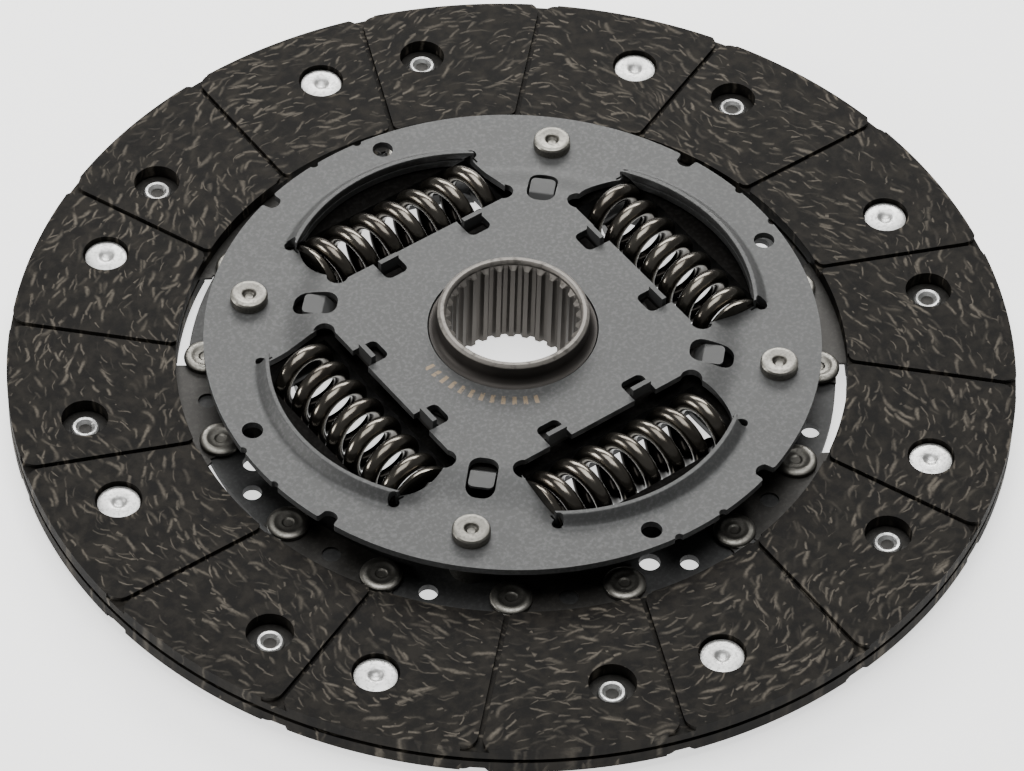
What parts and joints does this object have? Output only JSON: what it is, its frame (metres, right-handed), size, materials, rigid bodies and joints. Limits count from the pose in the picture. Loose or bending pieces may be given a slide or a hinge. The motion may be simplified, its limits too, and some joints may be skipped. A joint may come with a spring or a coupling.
{
  "type": "friction clutch disc",
  "caption": "Dry friction clutch disc: two riveted, grooved facing rings on a sprung steel hub with coil damper springs in lipped windows and a splined bore.",
  "frame": {"origin": "on the hub's axis, in the plane of the hub's rear end, which is the lowest plane of the part", "axes": "+Z along the hub's axis towards the gearbox side, +X through the middle of the first damper window"},
  "size_m": [0.24, 0.24, 0.0255],
  "materials": {
    "friction_lining": "black wound-yarn lining with brown fibres, ground flat",
    "rivet_bright": "bright plated",
    "spring_steel": "dark phosphated",
    "plate_steel": "dark grey phosphated, satin",
    "rivet_steel": "turned, dull",
    "ring_plastic": "filled plastic, matt",
    "coil_steel": "dark, oiled and glossy",
    "hub_steel": "machined, with bright edges"
  },
  "bodies": {
    "plates": {"facing_front": "friction_lining", "facing_rear": "friction_lining", "cushion_segment_1": "spring_steel", "cushion_segment_2": "spring_steel", "cushion_segment_3": "spring_steel", "cushion_segment_4": "spring_steel", "cushion_segment_5": "spring_steel", "cushion_segment_6": "spring_steel", "cushion_segment_7": "spring_steel", "cushion_segment_8": "spring_steel", "facing_rivets_front": "rivet_bright", "facing_rivets_rear": "rivet_bright", "segment_rivets": "rivet_steel", "carrier_plate": "plate_steel", "cover_plate": "plate_steel", "stop_pin_1": "rivet_steel", "stop_pin_2": "rivet_steel", "stop_pin_3": "rivet_steel", "stop_pin_4": "rivet_steel", "lug_plate": "spring_steel", "disc_spring": "spring_steel", "thrust_ring": "spring_steel", "friction_ring": "ring_plastic", "friction_bush": "ring_plastic"},
    "hub": {"hub": "hub_steel", "hub_flange": "hub_steel"},
    "springs": {"damper_spring_1": "coil_steel", "damper_spring_2": "coil_steel", "damper_spring_3": "coil_steel", "damper_spring_4": "coil_steel"}
  },
  "joints": [
    {"name": "hub_twist", "type": "hinge", "parent": "plates", "child": "hub", "pos_m": [0, 0, 0], "axis": [0, 0, 1], "range_deg": [-8, 10], "stiffness_Nm_per_rad": 400},
    {"name": "spring_shift", "type": "hinge", "parent": "plates", "child": "springs", "pos_m": [0, 0, 0], "axis": [0, 0, 1], "range_deg": [-4, 5], "deforming": ["damper_spring_1", "damper_spring_2", "damper_spring_3", "damper_spring_4"]}
  ],
  "couplings": [
    {"joint": "spring_shift", "follows": "hub_twist", "ratio": 0.5}
  ]
}
